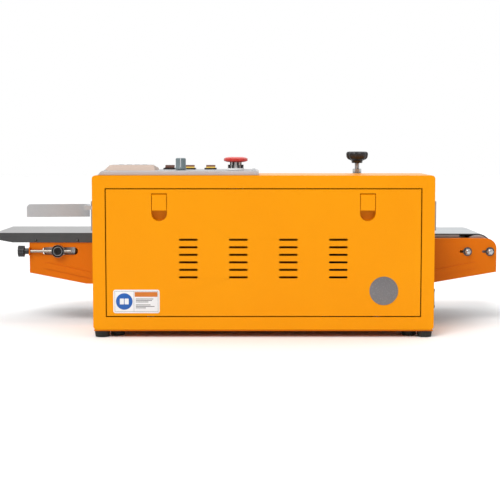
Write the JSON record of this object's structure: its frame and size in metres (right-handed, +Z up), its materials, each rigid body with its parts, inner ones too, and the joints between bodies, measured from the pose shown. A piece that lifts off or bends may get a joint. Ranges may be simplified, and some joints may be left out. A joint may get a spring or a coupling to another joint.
{
  "type": "continuous band sealer",
  "caption": "Tabletop continuous band sealer: a folded sheet-metal drive housing with a rear service door, a horizontal bag sealing head and a belt conveyor with an infeed tray.",
  "frame": {"origin": "centre of the machine's outline on the surface it stands on", "axes": "+Z up, +X along the conveyor in the direction the bags travel, +Y from the service door towards the operator's side"},
  "size_m": [0.858, 0.3832, 0.291],
  "materials": {
    "orange_paint": "semi-gloss powder coat",
    "amber_paint": "semi-gloss powder coat",
    "stainless": "brushed",
    "zinc_steel": "zinc plated",
    "turned_steel": "turned",
    "dark_steel": "oiled",
    "brass_blocks": "machined",
    "aluminium_blocks": "machined",
    "seal_band": "coated glass cloth band",
    "belt_pvc": "matt",
    "black_rubber": "matt",
    "press_rubber": "matt",
    "black_plastic": "satin",
    "grey_plastic": "gloss",
    "panel_white": "satin",
    "controller_beige": "satin",
    "rocker_amber": "gloss",
    "estop_red": "gloss",
    "motor_paint": "semi-gloss"
  },
  "bodies": {
    "frame": {"housing_shell": "orange_paint", "rear_frame": "orange_paint", "front_panel": "orange_paint", "base_pan": "amber_paint", "door_hinges": "zinc_steel", "power_inlet": "black_plastic", "rubber_feet": "black_rubber", "control_panel": "panel_white", "temperature_controller": "controller_beige", "control_bodies": "black_plastic", "estop_base": "panel_white", "pressure_bracket": "stainless", "conveyor_side_rear": "amber_paint", "conveyor_side_front": "amber_paint", "conveyor_bed": "stainless", "conveyor_belt": "belt_pvc", "conveyor_supports": "amber_paint", "roller_bearings": "dark_steel", "roller_bolts": "zinc_steel", "infeed_tray": "stainless", "bag_guide_bar": "stainless", "mechanism_plate": "stainless", "lower_guard": "stainless", "sealing_bands": "seal_band", "heating_blocks": "brass_blocks", "cooling_blocks": "aluminium_blocks", "guide_belts": "black_rubber", "shaft_bearings": "zinc_steel", "gear_motor": "motor_paint", "drive_chains": "dark_steel", "fan_body": "black_plastic"},
    "door": {"rear_door": "orange_paint", "hole_plug": "grey_plastic"},
    "latch_left": {"latch_left": "orange_paint"},
    "latch_right": {"latch_right": "orange_paint"},
    "speed_knob": {"speed_knob": "grey_plastic"},
    "power_switch": {"power_switch": "rocker_amber"},
    "heat_switch": {"heat_switch": "rocker_amber"},
    "fan_switch": {"fan_switch": "rocker_amber"},
    "estop_stem": {"estop_stem": "black_plastic"},
    "estop_head": {"estop_head": "estop_red"},
    "pressure_knob": {"pressure_knob": "black_plastic"},
    "press_carriage": {"press_carriage": "stainless", "pressure_spring": "zinc_steel"},
    "upper_press_wheel": {"upper_press_wheel": "press_rubber"},
    "lower_press_wheel": {"lower_press_wheel": "press_rubber"},
    "upper_drive_wheel": {"upper_drive_wheel": "turned_steel"},
    "lower_drive_wheel": {"lower_drive_wheel": "turned_steel"},
    "upper_driven_wheel": {"upper_driven_wheel": "turned_steel"},
    "lower_driven_wheel": {"lower_driven_wheel": "turned_steel"},
    "upper_guide_pulley": {"upper_guide_pulley": "turned_steel"},
    "lower_guide_pulley": {"lower_guide_pulley": "turned_steel"},
    "output_shaft": {"output_shaft": "zinc_steel"},
    "drive_roller": {"drive_roller": "zinc_steel"},
    "idler_roller": {"idler_roller": "zinc_steel"},
    "tension_axle": {"tension_axle": "zinc_steel"},
    "tension_screw_rear": {"tension_screw_rear": "black_plastic"},
    "tension_screw_front": {"tension_screw_front": "black_plastic"},
    "fan_rotor": {"fan_rotor": "grey_plastic"},
    "upper_guard": {"upper_guard": "stainless"}
  },
  "joints": [
    {"name": "conveyor_drive", "type": "hinge", "parent": "frame", "child": "drive_roller", "pos_m": [0.3988, 0.08, 0.122], "axis": [0, 1, 0], "continuous": true},
    {"name": "output_shaft_spin", "type": "hinge", "parent": "frame", "child": "output_shaft", "pos_m": [0.25, -0.06, 0.1], "axis": [0, 1, 0], "continuous": true},
    {"name": "lower_drive_spin", "type": "hinge", "parent": "frame", "child": "lower_drive_wheel", "pos_m": [0.252, -0.04, 0.1625], "axis": [0, 1, 0], "continuous": true},
    {"name": "upper_drive_spin", "type": "hinge", "parent": "frame", "child": "upper_drive_wheel", "pos_m": [0.252, -0.04, 0.2045], "axis": [0, 1, 0], "continuous": true},
    {"name": "lower_driven_spin", "type": "hinge", "parent": "frame", "child": "lower_driven_wheel", "pos_m": [-0.06, -0.04, 0.1625], "axis": [0, 1, 0], "continuous": true},
    {"name": "upper_driven_spin", "type": "hinge", "parent": "frame", "child": "upper_driven_wheel", "pos_m": [-0.06, -0.04, 0.2045], "axis": [0, 1, 0], "continuous": true},
    {"name": "lower_guide_spin", "type": "hinge", "parent": "frame", "child": "lower_guide_pulley", "pos_m": [-0.2432, -0.043, 0.1719], "axis": [0, 1, 0], "continuous": true},
    {"name": "upper_guide_spin", "type": "hinge", "parent": "frame", "child": "upper_guide_pulley", "pos_m": [-0.2432, -0.043, 0.1951], "axis": [0, 1, 0], "continuous": true},
    {"name": "lower_press_spin", "type": "hinge", "parent": "frame", "child": "lower_press_wheel", "pos_m": [0.1896, -0.032, 0.1668], "axis": [0, 1, 0], "continuous": true},
    {"name": "upper_press_spin", "type": "hinge", "parent": "press_carriage", "child": "upper_press_wheel", "pos_m": [0.1896, -0.032, 0.2002], "axis": [0, 1, 0], "continuous": true},
    {"name": "idler_roller_spin", "type": "hinge", "parent": "tension_axle", "child": "idler_roller", "pos_m": [-0.317, 0.08, 0.122], "axis": [0, 1, 0], "continuous": true},
    {"name": "fan_spin", "type": "hinge", "parent": "frame", "child": "fan_rotor", "pos_m": [0.116, -0.06, 0.208], "axis": [0, 1, 0], "continuous": true},
    {"name": "door_swing", "type": "hinge", "parent": "frame", "child": "door", "pos_m": [0.0315, -0.1859, 0.0365], "axis": [1, 0, 0], "range_deg": [0, 90]},
    {"name": "latch_left_lift", "type": "hinge", "parent": "door", "child": "latch_left", "pos_m": [-0.132, -0.187, 0.22385], "axis": [-1, 0, 0], "range_deg": [0, 35], "stiffness_Nm_per_rad": 0.02, "springref_deg": -20.05},
    {"name": "latch_right_lift", "type": "hinge", "parent": "door", "child": "latch_right", "pos_m": [0.195, -0.187, 0.22385], "axis": [-1, 0, 0], "range_deg": [0, 35], "stiffness_Nm_per_rad": 0.02, "springref_deg": -20.05},
    {"name": "speed_knob_turn", "type": "hinge", "parent": "frame", "child": "speed_knob", "pos_m": [-0.1012, -0.13, 0.27], "axis": [0, 0, 1], "range_deg": [-135, 135]},
    {"name": "power_switch_rock", "type": "hinge", "parent": "frame", "child": "power_switch", "pos_m": [-0.1222, -0.08, 0.261], "axis": [-1, 0, 0], "range_deg": [0, 16]},
    {"name": "heat_switch_rock", "type": "hinge", "parent": "frame", "child": "heat_switch", "pos_m": [-0.0892, -0.08, 0.261], "axis": [-1, 0, 0], "range_deg": [0, 16]},
    {"name": "fan_switch_rock", "type": "hinge", "parent": "frame", "child": "fan_switch", "pos_m": [-0.055, -0.08, 0.261], "axis": [-1, 0, 0], "range_deg": [0, 16]},
    {"name": "estop_push", "type": "slide", "parent": "frame", "child": "estop_stem", "axis": [0, 0, -1], "range_m": [0, 0.004], "stiffness_N_per_m": 900, "springref_m": -0.001},
    {"name": "estop_twist", "type": "hinge", "parent": "estop_stem", "child": "estop_head", "pos_m": [-0.013, -0.12, 0.278], "axis": [0, 0, 1], "range_deg": [0, 45], "stiffness_Nm_per_rad": 0.05},
    {"name": "pressure_knob_turn", "type": "hinge", "parent": "frame", "child": "pressure_knob", "pos_m": [0.1896, -0.0325, 0.28], "axis": [0, 0, 1], "range_deg": [-360, 720]},
    {"name": "press_lift", "type": "slide", "parent": "frame", "child": "press_carriage", "axis": [0, 0, 1], "range_m": [0, 0.0012], "stiffness_N_per_m": 4000, "springref_m": -0.003},
    {"name": "belt_tension", "type": "slide", "parent": "frame", "child": "tension_axle", "axis": [1, 0, 0], "range_m": [0, 0.01]},
    {"name": "tension_screw_rear_turn", "type": "hinge", "parent": "frame", "child": "tension_screw_rear", "pos_m": [-0.35, -0.0238, 0.122], "axis": [1, 0, 0], "range_deg": [0, 4500]},
    {"name": "tension_screw_front_turn", "type": "hinge", "parent": "frame", "child": "tension_screw_front", "pos_m": [-0.35, 0.175, 0.122], "axis": [1, 0, 0], "range_deg": [0, 4500]},
    {"name": "guard_swing", "type": "hinge", "parent": "frame", "child": "upper_guard", "pos_m": [0, -0.0435, 0.2289], "axis": [1, 0, 0], "range_deg": [0, 80]}
  ],
  "couplings": [
    {"joint": "output_shaft_spin", "follows": "conveyor_drive", "ratio": 1.3846},
    {"joint": "lower_drive_spin", "follows": "conveyor_drive", "ratio": 1.3846},
    {"joint": "upper_drive_spin", "follows": "conveyor_drive", "ratio": -1.3846},
    {"joint": "lower_driven_spin", "follows": "conveyor_drive", "ratio": 1.3846},
    {"joint": "upper_driven_spin", "follows": "conveyor_drive", "ratio": -1.3846},
    {"joint": "lower_guide_spin", "follows": "conveyor_drive", "ratio": 2.5994},
    {"joint": "upper_guide_spin", "follows": "conveyor_drive", "ratio": -2.5994},
    {"joint": "lower_press_spin", "follows": "conveyor_drive", "ratio": 1.7827},
    {"joint": "upper_press_spin", "follows": "conveyor_drive", "ratio": -1.7827},
    {"joint": "idler_roller_spin", "follows": "conveyor_drive", "ratio": 1},
    {"joint": "tension_screw_rear_turn", "follows": "belt_tension", "rad_per_m": 7846.1},
    {"joint": "tension_screw_front_turn", "follows": "belt_tension", "rad_per_m": 7846.1}
  ]
}
